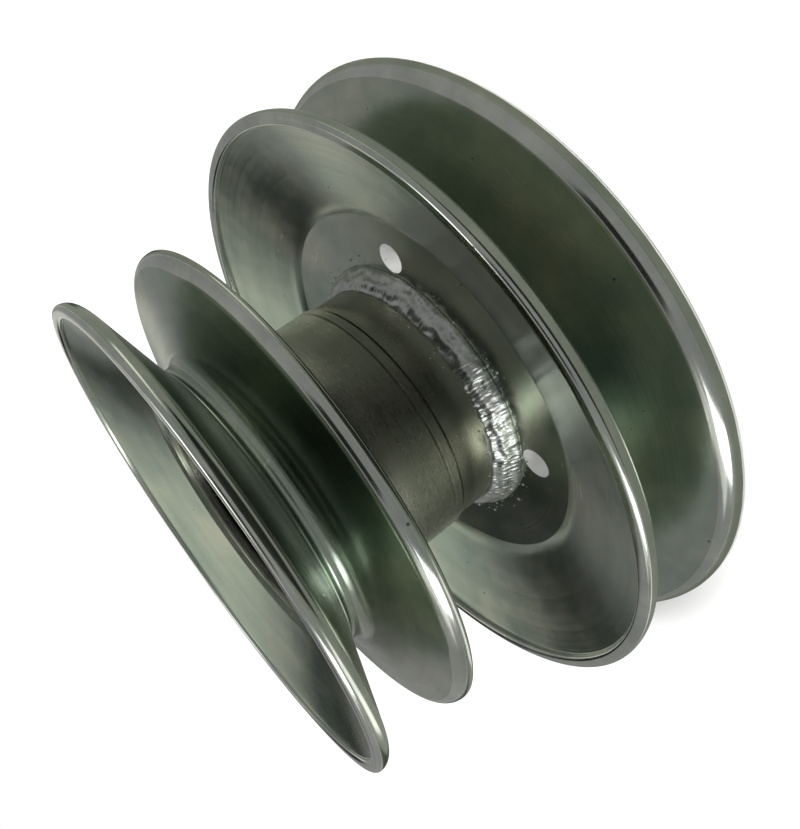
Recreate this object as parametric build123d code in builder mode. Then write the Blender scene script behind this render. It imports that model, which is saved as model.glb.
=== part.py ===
from build123d import *
from math import cos, radians, tan
import os

# two-groove pressed steel belt pulley on a bearing hub, +Z along the shaft, large groove at the bottom
# large pulley; every length is in mm and follows from the 60 mm hub tube
large_rim_radius = 75.0
large_lip_height = 3.87       # rim edge beyond the flank's end
large_wall_radius = 50.1      # outside of the step at the groove bottom
large_flank_deg = 18.5        # flank against the flat web, a 37 degree groove
large_flank_start = 1.5       # height of the flank where it meets the step
large_step_fillet = 0.6
large_root_fillet = 0.7
large_shoulder_deg = 35.5     # slope of the step seen from the outside
large_shoulder_fillet = 13.5

# small pulley
small_rim_radius = 60.0
small_mid_z = 68.6
small_lower_wall_radius = 36.6
small_lower_flank_deg = 10.5
small_lower_flank_start = 4.3   # deep neck, all in the lower half
small_lower_lip_height = 3.36
small_lower_step_fillet = 1.4
small_lower_root_fillet = 3.0
small_lower_shoulder_deg = 89.0
small_lower_shoulder_fillet = 3.8
small_upper_wall_radius = 37.4
small_upper_flank_deg = 20.5
small_upper_flank_start = 0.7
small_upper_lip_height = 3.15
small_upper_step_fillet = 0.3
small_upper_root_fillet = 0.3
small_upper_shoulder_deg = 10.0
small_upper_shoulder_fillet = 3.0

# pressed sheet
sheet = 3.0
rim_bend_radius = 3.6         # outside of the turned rim
rim_inner_fillet = 0.5
edge_outer_fillet = 1.1       # the cut edge is rolled round on both corners
edge_inner_fillet = 0.8
fillet_share = 0.96           # most of a straight run that its fillets may use

# round holes punched through both webs of the large pulley
web_hole_radius = 3.6
web_hole_circle = 38.2
web_hole_count = 4
web_hole_angle = -43.0

# hub tubes, two bearing housings joined end to end on a spigot
tube_radius = 30.0
tube_bottom_z = 3.0
tube_joint_z = 31.0
collar_radius = 30.7
collar_top_z = 71.0
spigot_radius = 27.0
spigot_length = 4.0
spigot_fit = 0.05
line_groove_z = 33.4
line_groove_width = 0.5
line_groove_depth = 0.4
joint_relief = 0.5            # shallow shadow gap under the collar
edge_chamfer = 0.5

# bearings and their seats
seat_radius = 26.0
housing_shoulder_radius = 23.5
bearing_width = 15.0
lower_bearing_z = 6.0
upper_bearing_z = 53.0
bore_radius = 12.5
inner_land_radius = 16.2
outer_land_radius = 22.6
ball_radius = 3.97
pitch_radius = 19.5
ball_count = 9
race_clearance = 0.05
race_fillet = 0.8
seal_gap = 0.35
seal_thickness = 0.9
seal_inset = 0.2
cage_half_thickness = 0.9
cage_half_height = 4.6
pocket_clearance = 0.12
spacer_radius = 15.8

# circlips
clip_groove_radius = 27.1
clip_outer_radius = 27.0
clip_inner_radius = 24.6
clip_thickness = 1.5
clip_side_play = 0.1
clip_opening = 9.0
clip_eye_radius = 0.9
clip_ear_radius = 2.3
clip_ear_at = 23.9

# fillet welds
weld_web_leg = 4.2
weld_tube_leg = 5.5
weld_bulge = 0.45
rear_weld_leg = 3.0
small_weld_leg = 2.1            # fits inside the recess of the small web

os.makedirs("parts", exist_ok=True)


def half_points(wall_r, start, deg, rim_r, lip, shoulder_deg, web_r):
    # groove side from hub to rim edge, then back along the outside at one sheet thickness
    slope, lift, back = tan(radians(deg)), sheet / cos(radians(deg)), 1 / tan(radians(shoulder_deg))
    flank_end = start + (rim_r - wall_r) * slope
    inner_r = wall_r - sheet
    shoulder = (start + lift - (sheet + sheet * back) * slope) / (1 - back * slope)
    shoulder_r = inner_r + (shoulder - sheet) * back
    rim_in = flank_end + lift - sheet * slope
    half = flank_end + lip
    return [(web_r, 0), (wall_r, 0), (wall_r, start), (rim_r, flank_end), (rim_r, half), (rim_r - sheet, half),
            (rim_r - sheet, rim_in), (shoulder_r, shoulder), (inner_r, sheet), (web_r, sheet)]


def fitted(points, wanted):
    # shortens the fillets at both ends of a run that is too short for them
    count, radii = len(points), dict(wanted)

    def reach(i):
        before, here, after = (Vector(*points[(i + k) % count]) for k in (-1, 0, 1))
        return radii.get(i, 0) * tan(radians((here - before).get_angle(after - here) / 2))

    for i in range(count):
        j = (i + 1) % count
        length = (Vector(*points[j]) - Vector(*points[i])).length
        used = reach(i) + reach(j)
        if used > fillet_share * length:
            for k in (i, j):
                if k in radii:
                    radii[k] *= fillet_share * length / used
    return radii


def half_sheave(points, rounding, mid_z, side, holes=0):
    placed = [(r, mid_z + side * h) for r, h in points]
    with BuildPart() as half:
        with BuildSketch(Plane.XZ):
            with BuildLine():
                Polyline(*placed, close=True)
            make_face()
            for corner, radius in fitted(points, rounding).items():
                x, z = placed[corner]
                fillet([v for v in vertices() if abs(v.X - x) < 1e-3 and abs(v.Y - z) < 1e-3], radius)
        revolve(axis=Axis.Z)
        if holes:
            with BuildSketch(Plane.XY.offset(mid_z - sheet)):
                with PolarLocations(web_hole_circle, holes, start_angle=web_hole_angle):
                    Circle(web_hole_radius)
            extrude(amount=2 * sheet, mode=Mode.SUBTRACT)
    return half


def rounding_for(step, root, bend, shoulder):
    return {1: step, 2: root, 3: bend, 4: edge_outer_fillet, 5: edge_inner_fillet, 6: rim_inner_fillet, 7: shoulder}


large_points = half_points(large_wall_radius, large_flank_start, large_flank_deg, large_rim_radius,
                           large_lip_height, large_shoulder_deg, tube_radius)
lower_points = half_points(small_lower_wall_radius, small_lower_flank_start, small_lower_flank_deg,
                           small_rim_radius, small_lower_lip_height, small_lower_shoulder_deg, collar_radius)
upper_points = half_points(small_upper_wall_radius, small_upper_flank_start, small_upper_flank_deg,
                           small_rim_radius, small_upper_lip_height, small_upper_shoulder_deg, collar_radius)
large_rounding = rounding_for(large_step_fillet, large_root_fillet, rim_bend_radius, large_shoulder_fillet)
lower_rounding = rounding_for(small_lower_step_fillet, small_lower_root_fillet, rim_bend_radius,
                              small_lower_shoulder_fillet)
upper_rounding = rounding_for(small_upper_step_fillet, small_upper_root_fillet, rim_bend_radius,
                              small_upper_shoulder_fillet)
large_mid_z = large_points[4][1]

for name, points, rounding, mid_z, side, holes in (
        ("large_lower_sheave", large_points, large_rounding, large_mid_z, -1, web_hole_count),
        ("large_upper_sheave", large_points, large_rounding, large_mid_z, 1, web_hole_count),
        ("small_lower_sheave", lower_points, lower_rounding, small_mid_z, -1, 0),
        ("small_upper_sheave", upper_points, upper_rounding, small_mid_z, 1, 0)):
    sheave = half_sheave(points, rounding, mid_z, side, holes)
    sheave.part.label = name
    export_step(sheave.part, f"parts/{name}.step")

# lower housing: open at the bottom for its bearing, spigot at the top
lower_seat_top = lower_bearing_z + bearing_width
clip_space = clip_thickness + 2 * clip_side_play
with BuildPart() as large_hub_tube:
    with BuildSketch(Plane.XZ):
        with BuildLine():
            Polyline((seat_radius, tube_bottom_z), (tube_radius, tube_bottom_z),
                     (tube_radius, tube_joint_z - joint_relief),
                     (tube_radius - joint_relief, tube_joint_z - joint_relief / 2),
                     (tube_radius - joint_relief, tube_joint_z), (spigot_radius, tube_joint_z), (spigot_radius, tube_joint_z + spigot_length),
                     (housing_shoulder_radius, tube_joint_z + spigot_length),
                     (housing_shoulder_radius, lower_seat_top), (seat_radius, lower_seat_top),
                     (seat_radius, lower_bearing_z), (clip_groove_radius, lower_bearing_z),
                     (clip_groove_radius, lower_bearing_z - clip_space),
                     (seat_radius, lower_bearing_z - clip_space), close=True)
        make_face()
    revolve(axis=Axis.Z)
    chamfer(edges().filter_by(GeomType.CIRCLE).group_by(Axis.Z)[0], edge_chamfer)
large_hub_tube.part.label = "large_hub_tube"
export_step(large_hub_tube.part, "parts/large_hub_tube.step")

# upper housing, a collar slightly larger than the tube
upper_seat_top = upper_bearing_z + bearing_width
with BuildPart() as small_hub_tube:
    with BuildSketch(Plane.XZ):
        with BuildLine():
            Polyline((spigot_radius + spigot_fit, tube_joint_z), (collar_radius - edge_chamfer, tube_joint_z),
                     (collar_radius, tube_joint_z + edge_chamfer), (collar_radius, line_groove_z),
                     (collar_radius - line_groove_depth, line_groove_z + line_groove_width / 2),
                     (collar_radius, line_groove_z + line_groove_width),
                     (collar_radius, collar_top_z), (seat_radius, collar_top_z),
                     (seat_radius, upper_seat_top + clip_space), (clip_groove_radius, upper_seat_top + clip_space),
                     (clip_groove_radius, upper_seat_top), (seat_radius, upper_seat_top),
                     (seat_radius, upper_bearing_z), (housing_shoulder_radius, upper_bearing_z),
                     (housing_shoulder_radius, tube_joint_z + spigot_length + spigot_fit),
                     (spigot_radius + spigot_fit, tube_joint_z + spigot_length + spigot_fit), close=True)
        make_face()
    revolve(axis=Axis.Z)
    chamfer(edges().filter_by(GeomType.CIRCLE).group_by(Axis.Z)[-1].sort_by(SortBy.RADIUS)[0], edge_chamfer)
small_hub_tube.part.label = "small_hub_tube"
export_step(small_hub_tube.part, "parts/small_hub_tube.step")

# fillet welds between webs and tubes
for name, root_r, root_z, side, web_leg, tube_leg in (
        ("large_upper_weld", tube_radius, large_mid_z + sheet, 1, weld_web_leg, weld_tube_leg),
        ("large_lower_weld", tube_radius, large_mid_z - sheet, -1, rear_weld_leg, rear_weld_leg),
        ("small_lower_weld", collar_radius, small_mid_z - sheet, -1, small_weld_leg, rear_weld_leg)):
    mid = (root_r + web_leg / 2 + weld_bulge, root_z + side * (tube_leg / 2 + weld_bulge))
    with BuildPart() as weld:
        with BuildSketch(Plane.XZ):
            with BuildLine():
                Polyline((root_r, root_z + side * tube_leg), (root_r, root_z), (root_r + web_leg, root_z))
                ThreePointArc((root_r + web_leg, root_z), mid, (root_r, root_z + side * tube_leg))
            make_face()
        revolve(axis=Axis.Z)
    weld.part.label = name
    export_step(weld.part, f"parts/{name}.step")

# both bearings, sealed on each side; the seals are held by the outer race
for end, base_z in (("lower", lower_bearing_z), ("upper", upper_bearing_z)):
    centre_z = base_z + bearing_width / 2
    top_z = base_z + bearing_width
    raceway = ball_radius + race_clearance

    with BuildPart() as outer_race:
        with BuildSketch(Plane.XY.offset(base_z)):
            Circle(seat_radius)
            Circle(outer_land_radius, mode=Mode.SUBTRACT)
        extrude(amount=bearing_width)
        fillet(edges().filter_by(GeomType.CIRCLE).sort_by(SortBy.RADIUS)[-2:], race_fillet)
        with Locations((0, 0, centre_z)):
            Torus(pitch_radius, raceway, mode=Mode.SUBTRACT)
    outer_race.part.label = f"{end}_outer_race"
    export_step(outer_race.part, f"parts/{end}_outer_race.step")

    with BuildPart() as inner_race:
        with BuildSketch(Plane.XY.offset(base_z)):
            Circle(inner_land_radius)
            Circle(bore_radius, mode=Mode.SUBTRACT)
        extrude(amount=bearing_width)
        with Locations((0, 0, centre_z)):
            Torus(pitch_radius, raceway, mode=Mode.SUBTRACT)
    inner_race.part.label = f"{end}_inner_race"
    export_step(inner_race.part, f"parts/{end}_inner_race.step")

    with BuildPart() as balls:
        with Locations((0, 0, centre_z)):
            with PolarLocations(pitch_radius, ball_count):
                Sphere(ball_radius)
    balls.part.label = f"{end}_balls"
    export_step(balls.part, f"parts/{end}_balls.step")

    with BuildPart() as cage:
        with BuildSketch(Plane.XY.offset(centre_z - cage_half_height)):
            Circle(pitch_radius + cage_half_thickness)
            Circle(pitch_radius - cage_half_thickness, mode=Mode.SUBTRACT)
        extrude(amount=2 * cage_half_height)
        with Locations((0, 0, centre_z)):
            with PolarLocations(pitch_radius, ball_count):
                Cylinder(ball_radius + pocket_clearance, 6 * cage_half_thickness, rotation=(0, 90, 0),
                         mode=Mode.SUBTRACT)
    cage.part.label = f"{end}_cage"
    export_step(cage.part, f"parts/{end}_cage.step")

    for place, seal_z in (("bottom", base_z + seal_inset), ("top", top_z - seal_inset - seal_thickness)):
        with BuildPart() as seal:
            with BuildSketch(Plane.XY.offset(seal_z)):
                Circle(outer_land_radius)
                Circle(inner_land_radius + seal_gap, mode=Mode.SUBTRACT)
            extrude(amount=seal_thickness)
        seal.part.label = f"{end}_seal_{place}"
        export_step(seal.part, f"parts/{end}_seal_{place}.step")

# sleeve that keeps the inner races apart
with BuildPart() as spacer_sleeve:
    with BuildSketch(Plane.XY.offset(lower_seat_top)):
        Circle(spacer_radius)
        Circle(bore_radius, mode=Mode.SUBTRACT)
    extrude(amount=upper_bearing_z - lower_seat_top)
spacer_sleeve.part.label = "spacer_sleeve"
export_step(spacer_sleeve.part, "parts/spacer_sleeve.step")

# circlips with pliers eyes either side of the opening
for name, clip_z in (("lower_circlip", lower_bearing_z - clip_side_play - clip_thickness),
                     ("upper_circlip", upper_seat_top + clip_side_play)):
    with BuildPart() as circlip:
        with BuildSketch(Plane.XY.offset(clip_z)):
            Circle(clip_outer_radius)
            Circle(clip_inner_radius, mode=Mode.SUBTRACT)
            with Locations((clip_outer_radius, 0)):
                Rectangle(2 * (clip_outer_radius - clip_inner_radius) + 6, clip_opening, mode=Mode.SUBTRACT)
            with Locations((clip_ear_at, clip_opening / 2 + clip_ear_radius),
                           (clip_ear_at, -clip_opening / 2 - clip_ear_radius)):
                Circle(clip_ear_radius - 0.05)
                Circle(clip_eye_radius, mode=Mode.SUBTRACT)
        extrude(amount=clip_thickness)
    circlip.part.label = name
    export_step(circlip.part, f"parts/{name}.step")
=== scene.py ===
import math
import random

import bmesh
import bpy
from mathutils import Matrix, Vector, noise


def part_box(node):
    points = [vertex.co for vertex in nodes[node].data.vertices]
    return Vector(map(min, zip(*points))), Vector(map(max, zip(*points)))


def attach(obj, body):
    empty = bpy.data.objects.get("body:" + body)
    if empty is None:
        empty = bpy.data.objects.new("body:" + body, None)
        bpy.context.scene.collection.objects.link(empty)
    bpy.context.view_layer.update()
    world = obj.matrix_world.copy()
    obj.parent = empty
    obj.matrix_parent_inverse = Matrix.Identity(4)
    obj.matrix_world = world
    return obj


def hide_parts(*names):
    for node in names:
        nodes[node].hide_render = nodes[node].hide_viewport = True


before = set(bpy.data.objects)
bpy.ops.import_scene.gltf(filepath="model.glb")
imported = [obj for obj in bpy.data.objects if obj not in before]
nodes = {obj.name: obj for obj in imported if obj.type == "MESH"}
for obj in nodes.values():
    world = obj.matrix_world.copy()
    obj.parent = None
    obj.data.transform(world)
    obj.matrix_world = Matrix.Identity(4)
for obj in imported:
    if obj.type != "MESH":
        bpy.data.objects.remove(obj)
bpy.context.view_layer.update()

mm = 0.001
scene = bpy.context.scene


def hexColour(code):
    # sRGB hex to the linear values that shaders take
    parts = [int(code[i:i + 2], 16) / 255 for i in (1, 3, 5)]
    return tuple(c / 12.92 if c <= 0.04045 else ((c + 0.055) / 1.055) ** 2.4 for c in parts) + (1.0,)


def addNode(tree, kind, settings=None, **sockets):
    # one node: attributes, then socket values or links
    node = tree.nodes.new(kind)
    for key, value in (settings or {}).items():
        setattr(node, key, value)
    for key, value in sockets.items():
        byIndex = key.startswith("in") and key[2:].isdigit()
        socket = node.inputs[int(key[2:]) if byIndex else key.replace("_", " ")]
        if isinstance(value, bpy.types.NodeSocket):
            tree.links.new(value, socket)
        else:
            socket.default_value = value
    return node


def newMaterial(name):
    material = bpy.data.materials.new(name)
    material.use_nodes = True
    tree = material.node_tree
    tree.nodes.clear()
    return material, tree


def spunMetal(name, look):
    # rings about the shaft axis, cloudy plating, handling scratches and small specks
    material, tree = newMaterial(name)
    place = addNode(tree, "ShaderNodeTexCoord").outputs["Object"]
    apart = addNode(tree, "ShaderNodeSeparateXYZ", Vector=place)
    flat = addNode(tree, "ShaderNodeCombineXYZ", X=apart.outputs["X"], Y=apart.outputs["Y"], Z=0.0)
    radius = addNode(tree, "ShaderNodeVectorMath", {"operation": "LENGTH"},
                     in0=flat.outputs[0]).outputs["Value"]
    rings = addNode(tree, "ShaderNodeCombineXYZ", X=radius, Y=apart.outputs["Z"], Z=0.0).outputs[0]
    fine = addNode(tree, "ShaderNodeTexNoise", {"noise_dimensions": "2D"}, Vector=rings,
                   Scale=1 / (look["ringMm"] * mm), Detail=2.0, Roughness=0.6).outputs["Fac"]
    broad = addNode(tree, "ShaderNodeTexNoise", {"noise_dimensions": "2D"}, Vector=rings,
                    Scale=1 / (look["ringMm"] * 9 * mm), Detail=2.0, Roughness=0.5).outputs["Fac"]
    cloud = addNode(tree, "ShaderNodeTexNoise", Vector=place, Scale=1 / (look["cloudMm"] * mm),
                    Detail=5.0, Roughness=0.62).outputs["Fac"]
    grain = addNode(tree, "ShaderNodeTexNoise", Vector=place, Scale=1 / (look["grainMm"] * mm),
                    Detail=3.0, Roughness=0.7).outputs["Fac"]
    # short random scratches: stretched noise in two directions, kept only at its peaks
    stretched = addNode(tree, "ShaderNodeMapping", Vector=place, Rotation=(0.5, 0.3, 0.9),
                     Scale=(1 / (9 * mm), 1 / (0.16 * mm), 1 / (9 * mm))).outputs[0]
    scratch = addNode(tree, "ShaderNodeTexNoise", Vector=stretched, Scale=1.0, Detail=1.0).outputs["Fac"]
    scratchMask = addNode(tree, "ShaderNodeMapRange", Value=scratch,
                          **{"From Min": look["scratchFrom"], "From Max": 0.81})
    speck = addNode(tree, "ShaderNodeTexVoronoi", Vector=place, Scale=1 / (look["speckMm"] * mm),
                    Randomness=1.0).outputs["Distance"]
    speckMask = addNode(tree, "ShaderNodeMapRange", Value=speck,
                        **{"From Min": 0.02, "From Max": 0.05, "To Min": 1.0, "To Max": 0.0})

    tint = addNode(tree, "ShaderNodeValToRGB", Fac=cloud)
    tint.color_ramp.elements[0].position = 0.32
    tint.color_ramp.elements[0].color = hexColour(look["dark"])
    tint.color_ramp.elements[1].position = 0.68
    tint.color_ramp.elements[1].color = hexColour(look["light"])
    tint.color_ramp.elements.new(0.5).color = hexColour(look["mid"])
    ringTone = addNode(tree, "ShaderNodeMapRange", Value=broad,
                       **{"From Min": 0.3, "From Max": 0.7, "To Min": 1 - look["ringTone"],
                          "To Max": 1 + look["ringTone"]})
    toned = addNode(tree, "ShaderNodeVectorMath", {"operation": "SCALE"}, in0=tint.outputs[0],
                    Scale=ringTone.outputs[0])
    marked = addNode(tree, "ShaderNodeMix", {"data_type": "RGBA"}, in0=scratchMask.outputs[0],
                     in6=toned.outputs[0], in7=hexColour(look["scratch"]))
    spotted = addNode(tree, "ShaderNodeMix", {"data_type": "RGBA"}, in0=speckMask.outputs[0],
                      in6=marked.outputs[2], in7=hexColour(look["speck"]))

    rough = addNode(tree, "ShaderNodeMapRange", Value=cloud,
                    **{"From Min": 0.3, "From Max": 0.7, "To Min": look["roughLow"],
                       "To Max": look["roughHigh"]})
    roughRing = addNode(tree, "ShaderNodeMath", {"operation": "MULTIPLY_ADD"}, in0=fine,
                        in1=look["ringRough"], in2=rough.outputs[0])
    roughSum = addNode(tree, "ShaderNodeMath", {"operation": "MULTIPLY_ADD"}, in0=speckMask.outputs[0],
                       in1=0.25, in2=roughRing.outputs[0])

    ringBump = addNode(tree, "ShaderNodeBump", Height=fine, Strength=look["ringBump"], Distance=0.02 * mm)
    grainBump = addNode(tree, "ShaderNodeBump", Height=grain, Strength=look["grainBump"], Distance=0.02 * mm,
                        Normal=ringBump.outputs[0])
    cloudBump = addNode(tree, "ShaderNodeBump", Height=cloud, Strength=look["waveBump"], Distance=0.3 * mm,
                        Normal=grainBump.outputs[0])
    roundAxis = addNode(tree, "ShaderNodeTangent", {"direction_type": "RADIAL", "axis": "Z"})
    shader = addNode(tree, "ShaderNodeBsdfPrincipled", Base_Color=spotted.outputs[2],
                     Metallic=look["metal"], Roughness=roughSum.outputs[0], Anisotropic=look["aniso"],
                     Normal=cloudBump.outputs[0], Tangent=roundAxis.outputs[0])
    addNode(tree, "ShaderNodeOutputMaterial", Surface=shader.outputs[0])
    return material


# mild steel, pressed and bright zinc plated: soft grey-green sheen with faint spin rings and cloudy patches
zincSheet = {"dark": "#93a297", "mid": "#a8b1a3", "light": "#c0c2b2", "scratch": "#c4ccc2",
             "speck": "#4a5049", "metal": 1.0, "scratchFrom": 0.735,
             "ringMm": 0.5, "ringTone": 0.06, "cloudMm": 24, "grainMm": 0.5, "speckMm": 7, "roughLow": 0.16,
             "roughHigh": 0.22, "ringRough": 0.08, "ringBump": 0.25, "grainBump": 0.12, "waveBump": 0.03,
             "aniso": 0.45}
# the same sheet, burnished by the rolling tool at the rims: smoother, mirrors the room in hard bands
burnishedRim = dict(zincSheet, dark="#b2b9b1", mid="#c4c8bf", light="#dadcd3", roughLow=0.1, roughHigh=0.16,
                    ringRough=0.06, ringBump=0.14, grainBump=0.05, speckMm=9, aniso=0.3)
# turned steel tube, plated: olive grey with fine lathe lines and a broad soft highlight
turnedTube = dict(zincSheet, dark="#97978a", mid="#a4a497", light="#b2b2a5", ringMm=0.3, cloudMm=22,
                  roughLow=0.18, roughHigh=0.26, ringBump=0.3, grainBump=0.03, waveBump=0.01, aniso=0.6,
                  speckMm=14, scratchFrom=0.8)
# steel laid down by a wire welder, then plated: bright, uneven and glossy on each ripple
weldMetal = dict(zincSheet, dark="#a9ada8", mid="#c0c4bf", light="#d6d9d4", ringMm=1.1, cloudMm=3,
                 grainMm=0.25, roughLow=0.26, roughHigh=0.4, ringRough=0.05, ringBump=0.0, grainBump=0.5,
                 waveBump=0.12, aniso=0.0)
# punched hole walls: near white and mostly non-metal, lighter than bare cut steel, a painted reflection of the
# bright room in their colour, so the holes read as bright
holeWallPaintedReflection = dict(burnishedRim, dark="#f0f1ee", mid="#f6f7f4", light="#fbfbf9", roughLow=0.4, roughHigh=0.5,
               aniso=0.0, metal=0.15)
# through-hardened bearing steel, ground and lapped
groundSteel = dict(burnishedRim, dark="#a2a4a5", mid="#aeb0b1", light="#b9bbbc", ringMm=0.2, roughLow=0.08,
                   roughHigh=0.15, waveBump=0.0)
# phosphate-black spring steel
blackSpring = dict(zincSheet, dark="#1d1e1f", mid="#262728", light="#303132", roughLow=0.3, roughHigh=0.45,
                   aniso=0.0)
# machined brass cage
turnedBrass = dict(groundSteel, dark="#a5813e", mid="#b58f48", light="#c49d55", roughLow=0.2, roughHigh=0.3)


def sealRubberMaterial():
    # moulded nitrile rubber: near black, matt with a faint sheen and a fine pebble
    material, tree = newMaterial("moulded nitrile rubber")
    place = addNode(tree, "ShaderNodeTexCoord").outputs["Object"]
    pebble = addNode(tree, "ShaderNodeTexNoise", Vector=place, Scale=1 / (0.4 * mm),
                     Detail=3.0).outputs["Fac"]
    dust = addNode(tree, "ShaderNodeTexNoise", Vector=place, Scale=1 / (6 * mm), Detail=4.0).outputs["Fac"]
    colour = addNode(tree, "ShaderNodeValToRGB", Fac=dust)
    colour.color_ramp.elements[0].color = hexColour("#151515")
    colour.color_ramp.elements[1].color = hexColour("#2b2a29")
    bump = addNode(tree, "ShaderNodeBump", Height=pebble, Strength=0.3, Distance=0.03 * mm)
    rough = addNode(tree, "ShaderNodeMapRange", Value=dust, **{"To Min": 0.45, "To Max": 0.65})
    shader = addNode(tree, "ShaderNodeBsdfPrincipled", Base_Color=colour.outputs[0],
                     Roughness=rough.outputs[0], IOR=1.52, Normal=bump.outputs[0])
    addNode(tree, "ShaderNodeOutputMaterial", Surface=shader.outputs[0])
    return material


zinc = spunMetal("bright zinc plated pressed steel", zincSheet)
burnished = spunMetal("zinc plated steel, rolled rim", burnishedRim)
tubeSteel = spunMetal("turned zinc plated tube", turnedTube)
weld = spunMetal("wire weld, plated", weldMetal)
# hole walls: near-white colour, a painted reflection rather than the steel's own colour
cut = spunMetal("punched steel edge", holeWallPaintedReflection)
bearingSteel = spunMetal("ground bearing steel", groundSteel)
springSteel = spunMetal("phosphated spring steel", blackSpring)
brass = spunMetal("machined brass", turnedBrass)
rubber = sealRubberMaterial()
print("materials done")


filletShare = 0.96    # how much of a run its two fillets may take


def roundedProfile(corners, steps=9):
    # corners are (r, z, fillet, finish of the run that follows) in mm; returns points and their finishes
    points, finish = [], []
    count = len(corners)
    spots, radii = [Vector(c[:2]) for c in corners], [c[2] for c in corners]

    def reachAt(k):
        into, out = spots[k] - spots[k - 1], spots[(k + 1) % count] - spots[k]
        return radii[k] * math.tan(into.angle(out) / 2)

    for i in range(count):    # shortens the fillets at both ends of a run that is too short for them
        j = (i + 1) % count
        used, room = reachAt(i) + reachAt(j), filletShare * (spots[j] - spots[i]).length
        if used > room:
            radii[i] *= room / used
            radii[j] *= room / used
    for i, (r, z, fillet, kind) in enumerate(corners):
        fillet = radii[i]
        here = Vector((r, z))
        before, after = Vector(corners[i - 1][:2]), Vector(corners[(i + 1) % count][:2])
        if not fillet:
            points.append(here)
            finish.append(kind)
            continue
        a, b = (before - here).normalized(), (after - here).normalized()
        half = a.angle(b) / 2
        reach, centre = fillet / math.tan(half), here + (a + b).normalized() * fillet / math.sin(half)
        start, end = here + a * reach - centre, here + b * reach - centre
        sweep = start.angle_signed(end)
        for k in range(steps + 1):
            turn = Matrix.Rotation(-sweep * k / steps, 2)
            points.append(centre + turn @ start)
            finish.append(kind)
    return points, finish


def revolve(name, corners, materials, segments=384, sharp=24):
    points, finish = roundedProfile(corners)
    count = len(points)
    vertices, faces, slots = [], [], []
    for s in range(segments):
        a = 2 * math.pi * s / segments
        c, d = math.cos(a) * mm, math.sin(a) * mm
        vertices += [(p.x * c, p.x * d, p.y * mm) for p in points]
    for s in range(segments):
        n = (s + 1) % segments
        for i in range(count):
            j = (i + 1) % count
            faces.append((s * count + i, n * count + i, n * count + j, s * count + j))
            slots.append(finish[i])
    mesh = bpy.data.meshes.new(name)
    mesh.from_pydata(vertices, [], faces)
    for material in materials:
        mesh.materials.append(material)
    mesh.polygons.foreach_set("material_index", slots)
    mesh.polygons.foreach_set("use_smooth", [True] * len(faces))
    mesh.update()
    mesh.validate()
    area = sum(points[i].cross(points[(i + 1) % count]) for i in range(count))
    if area < 0:
        mesh.flip_normals()
    mesh.set_sharp_from_angle(angle=math.radians(sharp))
    piece = bpy.data.objects.new(name, mesh)
    scene.collection.objects.link(piece)
    return piece


def place(piece, body, node, slotName):
    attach(piece, body)
    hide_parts(node)
    return piece


# pressed halves, mm; wall is the outside of the step at the groove bottom
largeSheave = {"wall": 50.1, "flankDeg": 18.5, "flankStart": 1.5, "stepFillet": 0.6, "rootFillet": 0.7,
               "shoulderDeg": 35.5, "shoulderFillet": 13.5, "web": 30.0}
smallLower = {"wall": 36.6, "flankDeg": 10.5, "flankStart": 4.3, "stepFillet": 1.4, "rootFillet": 3.0,
              "shoulderDeg": 89.0, "shoulderFillet": 3.8, "web": 30.7}
smallUpper = {"wall": 37.4, "flankDeg": 20.5, "flankStart": 0.7, "stepFillet": 0.3, "rootFillet": 0.3,
              "shoulderDeg": 10.0, "shoulderFillet": 3.0, "web": 30.7}
rimEdge = {"bend": 3.6, "innerBend": 0.5, "outerRound": 1.1, "innerRound": 0.8}
sheet = 3.0


def sheaveCorners(size, node, side):
    low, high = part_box(node)
    rim = high.x / mm
    half = (high.z - low.z) / mm
    middle = (high.z if side < 0 else low.z) / mm
    slope, lift = math.tan(math.radians(size["flankDeg"])), sheet / math.cos(math.radians(size["flankDeg"]))
    back = 1 / math.tan(math.radians(size["shoulderDeg"]))
    flankEnd = size["flankStart"] + (rim - size["wall"]) * slope
    inner = size["wall"] - sheet
    shoulder = (size["flankStart"] + lift - (sheet + sheet * back) * slope) / (1 - back * slope)
    shoulderR = inner + (shoulder - sheet) * back
    rimIn = flankEnd + lift - sheet * slope
    local = [(size["web"], 0, 0, 0), (size["wall"], 0, size["stepFillet"], 0),
             (size["wall"], size["flankStart"], size["rootFillet"], 0),
             (rim, flankEnd, rimEdge["bend"], 1), (rim, half, rimEdge["outerRound"], 1),
             (rim - sheet, half, rimEdge["innerRound"], 1), (rim - sheet, rimIn, rimEdge["innerBend"], 0),
             (shoulderR, shoulder, size["shoulderFillet"], 0), (inner, sheet, 0, 0),
             (size["web"], sheet, 0, 0)]
    return [(r, middle + side * h, f, k) for r, h, f, k in local]


sheaves = {}
for node, size, side in (("large_lower_sheave", largeSheave, -1), ("large_upper_sheave", largeSheave, 1),
                         ("small_lower_sheave", smallLower, -1), ("small_upper_sheave", smallUpper, 1)):
    piece = revolve("spun_" + node, sheaveCorners(size, node, side), [zinc, burnished])
    sheaves[node] = place(piece, "pulley", node, "zinc_sheet")

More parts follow.
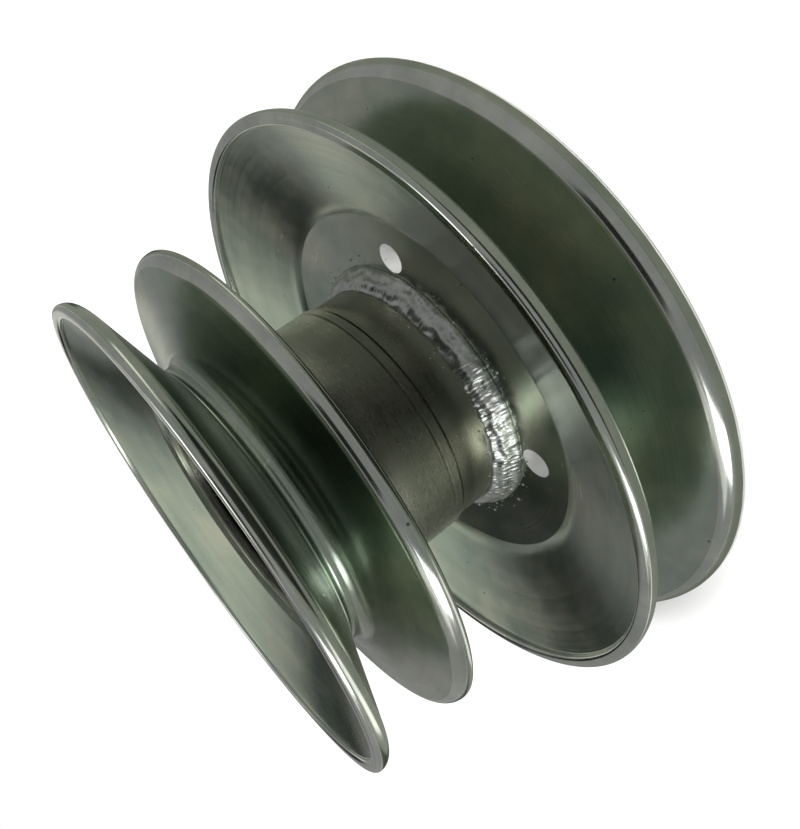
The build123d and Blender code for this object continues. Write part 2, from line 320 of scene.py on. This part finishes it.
# four punched holes through the large webs, cut from the revolved halves
webHoles = {"circle": 38.2, "radius": 3.6, "count": 4, "firstDeg": -43.0}
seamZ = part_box("large_lower_sheave")[1].z
for k in range(webHoles["count"]):
    a = math.radians(webHoles["firstDeg"] + 360 * k / webHoles["count"])
    bpy.ops.mesh.primitive_cylinder_add(vertices=96, radius=webHoles["radius"] * mm, depth=14 * mm, location=(
        webHoles["circle"] * mm * math.cos(a), webHoles["circle"] * mm * math.sin(a), seamZ))
    cutter = bpy.context.object
    # the hole walls take the near-white edge finish, a painted reflection
    cutter.data.materials.append(cut)
    for node in ("large_lower_sheave", "large_upper_sheave"):
        bite = sheaves[node].modifiers.new("hole", "BOOLEAN")
        bite.object, bite.operation, bite.solver = cutter, "DIFFERENCE", "EXACT"
        bite.material_mode = "TRANSFER"
        bpy.context.view_layer.update()
        graph = bpy.context.evaluated_depsgraph_get()
        cutMesh = bpy.data.meshes.new_from_object(sheaves[node].evaluated_get(graph))
        sheaves[node].modifiers.clear()
        sheaves[node].data = cutMesh
    bpy.data.objects.remove(cutter)
print("sheaves done")

# camera on the near side, axis running down to the left
camera = {"place": (12.6, -186.4, 100.1), "look": (0.0, 0.9503, -0.3112), "up": (0.8247, -0.1760, -0.5375),
          "lens": 35.75, "shift": (0.098, -0.025)}
look = Vector(camera["look"]).normalized()
up = Vector(camera["up"])
up = (up - look * up.dot(look)).normalized()
right = look.cross(up)
cameraData = bpy.data.cameras.new("studioCamera")
cameraData.lens, cameraData.sensor_width = camera["lens"], 36
cameraData.shift_x, cameraData.shift_y = camera["shift"]
cameraData.clip_start = 0.01
viewer = bpy.data.objects.new("studioCamera", cameraData)
viewer.matrix_world = Matrix.Translation(Vector(camera["place"]) * mm) @ Matrix(
    (right, up, -look)).transposed().to_4x4()
scene.collection.objects.link(viewer)
scene.camera = viewer

# pale floor, pale room and soft lamps
floorMaterial, floorTree = newMaterial("pale painted floor")
floorNoise = addNode(floorTree, "ShaderNodeTexNoise", Scale=40.0, Detail=3.0)
floorColour = addNode(floorTree, "ShaderNodeValToRGB", Fac=floorNoise.outputs["Fac"])
floorColour.color_ramp.elements[0].color = hexColour("#f4f4f3")
floorColour.color_ramp.elements[1].color = hexColour("#f7f7f6")
floorShader = addNode(floorTree, "ShaderNodeBsdfPrincipled", Base_Color=floorColour.outputs[0], Roughness=0.8)
addNode(floorTree, "ShaderNodeOutputMaterial", Surface=floorShader.outputs[0])
bpy.ops.mesh.primitive_circle_add(vertices=128, radius=6, fill_type="NGON", location=(0, 0, 0))
floor = bpy.context.object
floor.name = "floor"
floor.data.materials.append(floorMaterial)

world = bpy.data.worlds.new("paleRoom")
scene.world = world
world.use_nodes = True
room = {"seen": 1.0, "lit": 0.32}    # the wall behind is paper white, the rest of the room is dimmer
ray = addNode(world.node_tree, "ShaderNodeLightPath").outputs["Is Camera Ray"]
wall = world.node_tree.nodes["Background"]
wall.inputs["Color"].default_value = hexColour("#ffffff")
level = addNode(world.node_tree, "ShaderNodeMapRange", Value=ray,
                **{"To Min": room["lit"], "To Max": room["seen"]})
world.node_tree.links.new(level.outputs[0], wall.inputs["Strength"])

sun = bpy.data.lights.new("ceilingSoftbox", "SUN")
sun.energy, sun.angle = 4.0, math.radians(40)
sunObject = bpy.data.objects.new("ceilingSoftbox", sun)
sunObject.rotation_euler = Vector((0.3, -0.45, 0.84)).to_track_quat("Z", "Y").to_euler()
scene.collection.objects.link(sunObject)
sunObject.visible_glossy = False    # it lights the paper floor, the lamps below draw the highlights

lamps = {"key": {"place": (0.2, 0.3, 1.0), "size": (0.6, 0.3), "watts": 1.5},
         "side": {"place": (-0.75, -0.3, 0.4), "size": (0.3, 0.6), "watts": 2.4}}
for name, lamp in lamps.items():
    data = bpy.data.lights.new(name, "AREA")
    data.shape, data.size, data.size_y, data.energy = "RECTANGLE", *lamp["size"], lamp["watts"]
    lampObject = bpy.data.objects.new(name, data)
    lampObject.location = lamp["place"]
    aim = Vector((0, 0, 0.04)) - lampObject.location
    lampObject.rotation_euler = aim.to_track_quat("-Z", "Y").to_euler()
    scene.collection.objects.link(lampObject)

# paper cards that only the metal mirrors: grey round the part, dark in front, white at both sides
def cardPaper(name, tone):
    material, tree = newMaterial(name)
    fibre = addNode(tree, "ShaderNodeTexNoise", Scale=60.0, Detail=2.0)
    colour = addNode(tree, "ShaderNodeMix", {"data_type": "RGBA"}, in0=fibre.outputs["Fac"],
                     in6=hexColour(tone), in7=tuple(v * 0.9 for v in hexColour(tone)[:3]) + (1.0,))
    shader = addNode(tree, "ShaderNodeBsdfPrincipled", Base_Color=colour.outputs[2], Roughness=0.9)
    addNode(tree, "ShaderNodeOutputMaterial", Surface=shader.outputs[0])
    return material


cards = {
    "floorRing": {"place": (0.0, 0.0, 0.0004), "ring": (0.0752, 3.0), "tone": "#74786f"},
    "frontCard": {"place": (0.02, -0.36, 0.0008), "size": (0.24, 0.5), "tone": "#0c0e0a"},
    "leftCard": {"place": (-0.265, -0.07, 0.0008), "size": (0.16, 0.26), "tone": "#f2f2f0"},
    "rightCard": {"place": (0.27, -0.12, 0.0008), "size": (0.09, 0.2), "tone": "#e6e4da"},
    "farCard": {"place": (-0.16, 0.85, 0.42), "size": (0.5, 0.36),
                "face": (0.28, -0.85, -0.3), "tone": "#161914"},
    "farFloor": {"place": (-0.15, 0.7, 0.0008), "size": (0.8, 1.0), "tone": "#2c2e29"},
    "lowCard": {"place": (0.12, 1.1, 0.15), "size": (0.5, 0.16),
                "face": (0.0, -1.0, -0.1), "tone": "#d2d2ca"},
    "topCard": {"place": (0.0, -0.4, 0.75), "size": (0.5, 0.4),
                "face": (0.0, 0.45, -0.8), "tone": "#10120e"},
    "skyCard": {"place": (-0.75, -0.05, 0.7), "size": (0.4, 0.6),
                "face": (0.75, 0.05, -0.65), "tone": "#f2f2f0"},
    "highCard": {"place": (0.1, 0.6, 0.78), "size": (0.8, 0.3),
                 "face": (0.0, -0.6, -0.75), "tone": "#d8d9d0"},
}
for name, paper in cards.items():
    cardMesh = bpy.data.meshes.new(name)
    if "ring" in paper:
        turn = [(math.cos(math.pi * k / 32), math.sin(math.pi * k / 32)) for k in range(64)]
        cardMesh.from_pydata([(r * x, r * y, 0) for r in paper["ring"] for x, y in turn], [],
                             [(k, 64 + k, 64 + (k + 1) % 64, (k + 1) % 64) for k in range(64)])
    else:
        w, h = paper["size"][0] / 2, paper["size"][1] / 2
        cardMesh.from_pydata([(-w, -h, 0), (w, -h, 0), (w, h, 0), (-w, h, 0)], [], [(0, 1, 2, 3)])
    card = bpy.data.objects.new(name, cardMesh)
    scene.collection.objects.link(card)
    card.location = paper["place"]
    card.rotation_euler = Vector(paper.get("face", (0, 0, 1))).to_track_quat("Z", "Y").to_euler()
    cardMesh.materials.append(cardPaper(name + " paper", paper["tone"]))
    card.visible_camera = card.visible_shadow = card.visible_diffuse = False
scene.view_settings.view_transform = "Standard"
print("stage done")

# hub tubes, finer than the frame's mesh so that their highlights run true
hub = {"seat": 26.0, "shoulder": 23.5, "clipGroove": 27.1, "clipSpace": 1.7, "spigot": 27.0, "spigotFit": 0.05,
       "spigotLength": 4.0, "chamfer": 0.5, "lineZ": 33.4, "lineWidth": 0.5, "lineDepth": 0.4,
       "relief": 0.5}


def span(node):
    low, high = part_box(node)
    return low.z / mm, high.z / mm, high.x / mm


tubeLow, spigotTop, tubeR = span("large_hub_tube")
collarLow, collarTop, collarR = span("small_hub_tube")
lowBearing, upBearing = span("lower_outer_race"), span("upper_outer_race")
c = hub["chamfer"]
tubeCorners = [(hub["seat"], tubeLow, 0, 0), (tubeR - c, tubeLow, 0, 0), (tubeR, tubeLow + c, 0, 0),
               (tubeR, collarLow - hub["relief"], 0, 0),
               (tubeR - hub["relief"], collarLow - hub["relief"] / 2, 0, 0),
               (tubeR - hub["relief"], collarLow, 0, 0),
               (hub["spigot"], collarLow, 0, 0), (hub["spigot"], spigotTop, 0, 0),
               (hub["shoulder"], spigotTop, 0, 0), (hub["shoulder"], lowBearing[1], 0, 0),
               (hub["seat"], lowBearing[1], 0, 0), (hub["seat"], lowBearing[0], 0, 0),
               (hub["clipGroove"], lowBearing[0], 0, 0),
               (hub["clipGroove"], lowBearing[0] - hub["clipSpace"], 0, 0),
               (hub["seat"], lowBearing[0] - hub["clipSpace"], 0, 0)]
spigot = hub["spigot"] + hub["spigotFit"]
collarCorners = [(spigot, collarLow, 0, 0), (collarR - c, collarLow, 0, 1), (collarR, collarLow + c, 0, 0),
                 (collarR, hub["lineZ"], 0.06, 0),
                 (collarR - hub["lineDepth"], hub["lineZ"] + hub["lineWidth"] / 2, 0, 0),
                 (collarR, hub["lineZ"] + hub["lineWidth"], 0.06, 0), (collarR, collarTop - c, 0, 1),
                 (collarR - c, collarTop, 0, 0), (hub["seat"], collarTop, 0, 0),
                 (hub["seat"], upBearing[1] + hub["clipSpace"], 0, 0),
                 (hub["clipGroove"], upBearing[1] + hub["clipSpace"], 0, 0),
                 (hub["clipGroove"], upBearing[1], 0, 0),
                 (hub["seat"], upBearing[1], 0, 0), (hub["seat"], upBearing[0], 0, 0),
                 (hub["shoulder"], upBearing[0], 0, 0), (hub["shoulder"], spigotTop + hub["spigotFit"], 0, 0),
                 (spigot, spigotTop + hub["spigotFit"], 0, 0)]
place(revolve("turned_large_hub_tube", tubeCorners, [tubeSteel, burnished]), "pulley", "large_hub_tube",
      "turned_tube")
place(revolve("turned_small_hub_tube", collarCorners, [tubeSteel, burnished]), "pulley", "small_hub_tube",
      "turned_tube")
print("tubes done")

# weld beads: overlapping ripples laid round the tube, with a wandering edge and a stop where the runs meet
beads = {
    "large_upper_weld": {"pitch": 1.2, "ripple": 0.13, "slant": 1.8, "strand": 0.11, "wander": 0.7,
                         "stopDeg": -90, "seed": 3},
    "large_lower_weld": {"pitch": 1.8, "ripple": 0.16, "slant": 0.8, "strand": 0.06, "wander": 0.3,
                         "stopDeg": 80, "seed": 8},
    "small_lower_weld": {"pitch": 1.6, "ripple": 0.12, "slant": 0.8, "strand": 0.05, "wander": 0.2,
                         "stopDeg": 150, "seed": 5},
}


def weldBead(node, bead):
    low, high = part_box(node)
    up = node == "large_upper_weld"
    rootR = collarR if node.startswith("small") else tubeR
    webLeg, tubeLeg = high.x / mm - rootR, (high.z - low.z) / mm
    rootZ, sign = (low.z / mm, 1) if up else (high.z / mm, -1)
    around, across = 1800, 26
    turns = round(2 * math.pi * rootR / bead["pitch"])
    vertices, faces = [], []
    for s in range(around):
        a = 2 * math.pi * s / around
        spot = Vector((math.cos(a), math.sin(a), 0)) * 9
        shift = Vector((bead["seed"] * 7.3, 0, 0))
        webEdge = rootR + webLeg - bead["wander"] * (0.5 + 0.5 * noise.noise(spot * 1.1 + shift)) \
            - 0.12 * noise.noise(spot * 6 + shift)
        tubeEdge = tubeLeg - bead["wander"] * (0.5 + 0.5 * noise.noise(spot * 1.3 - shift)) \
            - 0.12 * noise.noise(spot * 5 - shift)
        gap = (math.degrees(a) - bead["stopDeg"] + 180) % 360 - 180
        lump = math.exp(-(gap / 7) ** 2)
        for i in range(across):
            t = i / (across - 1)
            flatR, flatZ = webEdge + (rootR - webEdge) * t, tubeEdge * t
            swell = math.sin(math.pi * t) ** 0.8
            # each ripple leans along the bead, and a few strands of metal run beside each other
            lag = bead["slant"] * t + 0.5 * noise.noise(spot * 1.6 + shift * 2)
            phase = (turns * a / (2 * math.pi) + lag) % 1.0
            scale = (phase ** 0.7 - 0.5) * bead["ripple"] * (0.7 + 0.8 * noise.noise(spot * 2.4 + shift))
            drift = 0.55 * noise.noise(spot * 0.9 + shift)
            strand = math.sin(2 * math.pi * (2.2 * t + drift)) * bead["strand"]
            dent = 0.16 * noise.noise(Vector((spot.x * 2.2, spot.y * 2.2, t * 4 + bead["seed"]))) \
                + 0.05 * noise.noise(Vector((spot.x * 11, spot.y * 11, t * 9)))
            detail = (scale + strand) * (1 - 0.75 * lump) + dent
            out = swell * (0.6 + 0.3 * lump) + detail * min(1, swell * 2)
            out = max(out, 0.02) * min(1, webLeg / 4.2 + 0.1) - (0.12 if t in (0, 1) else 0)
            r, z = flatR + out * 0.72, flatZ + out * 0.69
            r = min(r, rootR + webLeg)
            z = min(max(z, -0.03), tubeLeg)
            vertices.append((r * math.cos(a) * mm, r * math.sin(a) * mm, (rootZ + sign * z) * mm))
        innerR = rootR - 0.1    # the hidden root, a little inside both walls
        vertices.append((innerR * math.cos(a) * mm, innerR * math.sin(a) * mm, (rootZ - sign * 0.1) * mm))
    row = across + 1
    for s in range(around):
        n = (s + 1) % around
        for i in range(row):
            j = (i + 1) % row
            quad = (s * row + i, n * row + i, n * row + j, s * row + j)
            faces.append(quad if up else quad[::-1])
    mesh = bpy.data.meshes.new(node)
    mesh.from_pydata(vertices, [], faces)
    mesh.materials.append(weld)
    mesh.polygons.foreach_set("use_smooth", [True] * len(faces))
    mesh.update()
    piece = bpy.data.objects.new("rippled_" + node, mesh)
    scene.collection.objects.link(piece)
    return piece


for node, bead in beads.items():
    place(weldBead(node, bead), "pulley", node, "weld_metal")

# spatter: small beads stuck to the web and the tube beside the weld
spatter = {"count": 150, "seed": 21, "smallMm": 0.12, "largeMm": 0.42}
chance = random.Random(spatter["seed"])
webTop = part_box("large_upper_weld")[0].z / mm
drops = bpy.data.meshes.new("weldSpatter")
build = bmesh.new()
for k in range(spatter["count"]):
    a = chance.uniform(0, 2 * math.pi)
    size = spatter["smallMm"] + (spatter["largeMm"] - spatter["smallMm"]) * chance.random() ** 3
    if chance.random() < 0.7:
        spread = 4.0 + abs(chance.gauss(0, 1.6))
        where = Vector(((tubeR + spread) * math.cos(a), (tubeR + spread) * math.sin(a), webTop))
    else:
        where = Vector((tubeR * math.cos(a), tubeR * math.sin(a), webTop + 5.2 + abs(chance.gauss(0, 1.0))))
    shape = Matrix.Translation(where * mm) @ Matrix.Diagonal((size * mm, size * mm, size * 0.8 * mm, 1))
    bmesh.ops.create_icosphere(build, subdivisions=2, radius=1, matrix=shape)
build.to_mesh(drops)
build.free()
drops.materials.append(weld)
drops.polygons.foreach_set("use_smooth", [True] * len(drops.polygons))
spatterPiece = bpy.data.objects.new("weld_spatter", drops)
scene.collection.objects.link(spatterPiece)
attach(spatterPiece, "pulley")
print("welds done")

# carried-over parts keep their frame mesh and take a real finish
carried = {"inner_race": bearingSteel, "outer_race": bearingSteel, "balls": bearingSteel,
           "cage": brass, "seal": rubber, "circlip": springSteel, "spacer_sleeve": tubeSteel}
for name, node in nodes.items():
    for word, material in carried.items():
        if word in name:
            node.data.materials.clear()
            node.data.materials.append(material)
